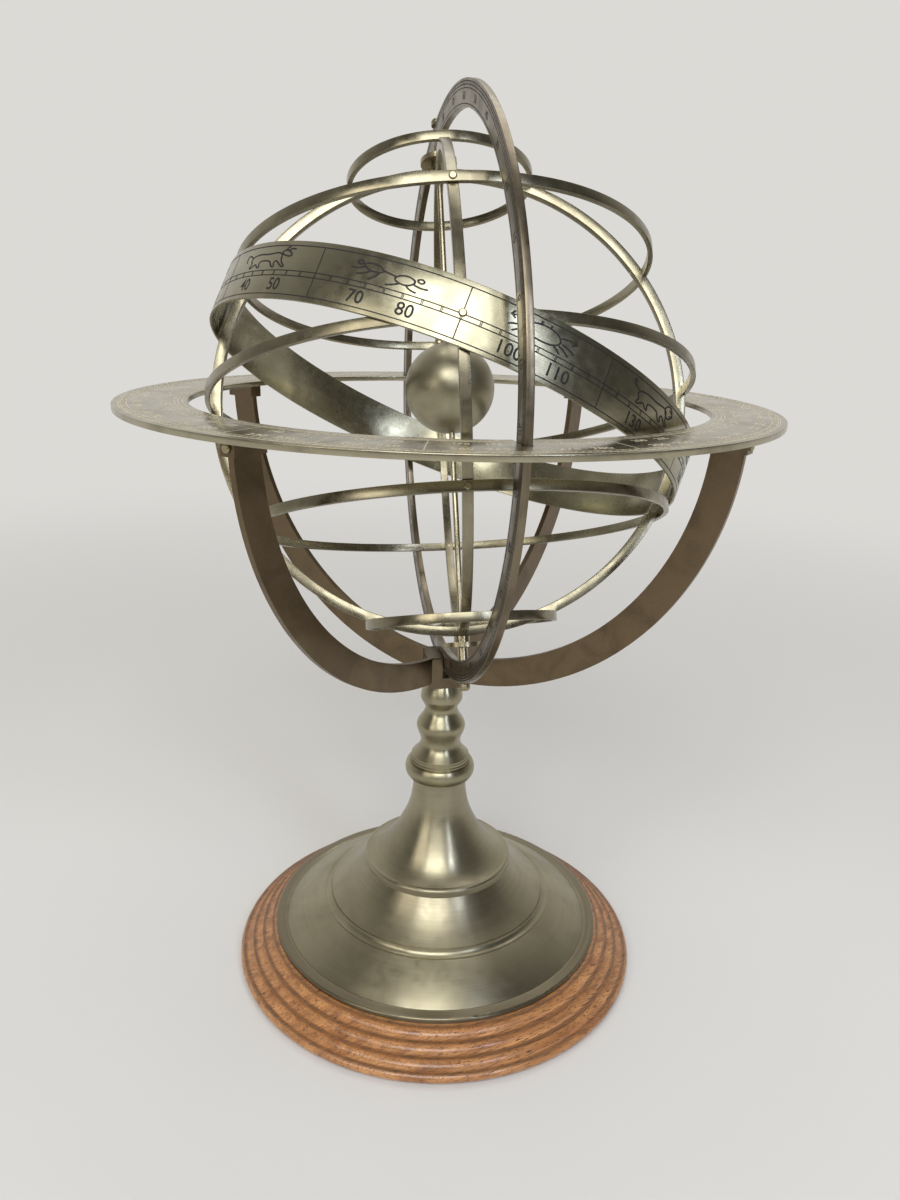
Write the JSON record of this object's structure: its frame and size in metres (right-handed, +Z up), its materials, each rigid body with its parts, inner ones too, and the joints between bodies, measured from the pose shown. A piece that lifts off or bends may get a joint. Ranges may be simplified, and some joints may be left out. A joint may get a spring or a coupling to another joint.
{
  "type": "armillary sphere",
  "caption": "Free-standing armillary sphere: ringed cage and zodiac band turning in a sliding meridian ring, in a horizon ring on curved arms and a turned stem with a round base.",
  "frame": {"origin": "centre of the base's underside, on the surface it stands on", "axes": "+Z up along the stem; the meridian ring stands in the YZ plane; -Y is the front and +X is to the right seen from the front"},
  "size_m": [0.33, 0.33, 0.4745],
  "materials": {
    "arm_brass": "brushed antique",
    "ball_brass": "brushed antique",
    "base_felt": "matt felt",
    "base_wood": "satin varnish",
    "fixing_steel": "plain",
    "foot_brass": "brushed antique",
    "horizon_brass": "brushed antique",
    "hub_brass": "brushed antique",
    "meridian_brass": "brushed antique",
    "rivet_brass": "brushed antique",
    "rod_brass": "brushed antique",
    "stem_brass": "brushed antique",
    "strip_brass": "brushed antique",
    "zodiac_brass": "brushed antique"
  },
  "bodies": {
    "stand": {"arm_back_left": "arm_brass", "arm_back_right": "arm_brass", "arm_front_left": "arm_brass", "arm_front_right": "arm_brass", "base_felt": "base_felt", "base_nut": "fixing_steel", "base_washer": "fixing_steel", "foot_bell": "foot_brass", "foot_dish": "foot_brass", "horizon_ring": "horizon_brass", "hub_block": "hub_brass", "socket_back_left": "arm_brass", "socket_back_right": "arm_brass", "socket_front_left": "arm_brass", "socket_front_right": "arm_brass", "socket_screws": "rivet_brass", "stem_baluster": "stem_brass", "stem_collar": "stem_brass", "tie_rod": "fixing_steel", "wood_base": "base_wood"},
    "meridian": {"meridian_ring": "meridian_brass", "polar_rod": "rod_brass", "pivot_nut_north": "rivet_brass", "pivot_nut_south": "rivet_brass", "sleeve_north": "rod_brass", "sleeve_south": "rod_brass", "earth_ball": "ball_brass"},
    "cage": {"colure_equinoctial": "strip_brass", "colure_solstitial": "strip_brass", "arctic_circle": "strip_brass", "tropic_of_cancer": "strip_brass", "equator": "strip_brass", "tropic_of_capricorn": "strip_brass", "antarctic_circle": "strip_brass", "zodiac_band": "zodiac_brass", "pole_disc_north": "strip_brass", "pole_disc_south": "strip_brass", "cage_rivets": "rivet_brass"}
  },
  "joints": [
    {"name": "latitude", "type": "hinge", "parent": "stand", "child": "meridian", "pos_m": [0, 0, 0.329], "axis": [-1, 0, 0], "range_deg": [-16.5, 65]},
    {"name": "cage_spin", "type": "hinge", "parent": "meridian", "child": "cage", "pos_m": [0, 0, 0.329], "axis": [0, 0.3762, 0.9265], "continuous": true}
  ]
}
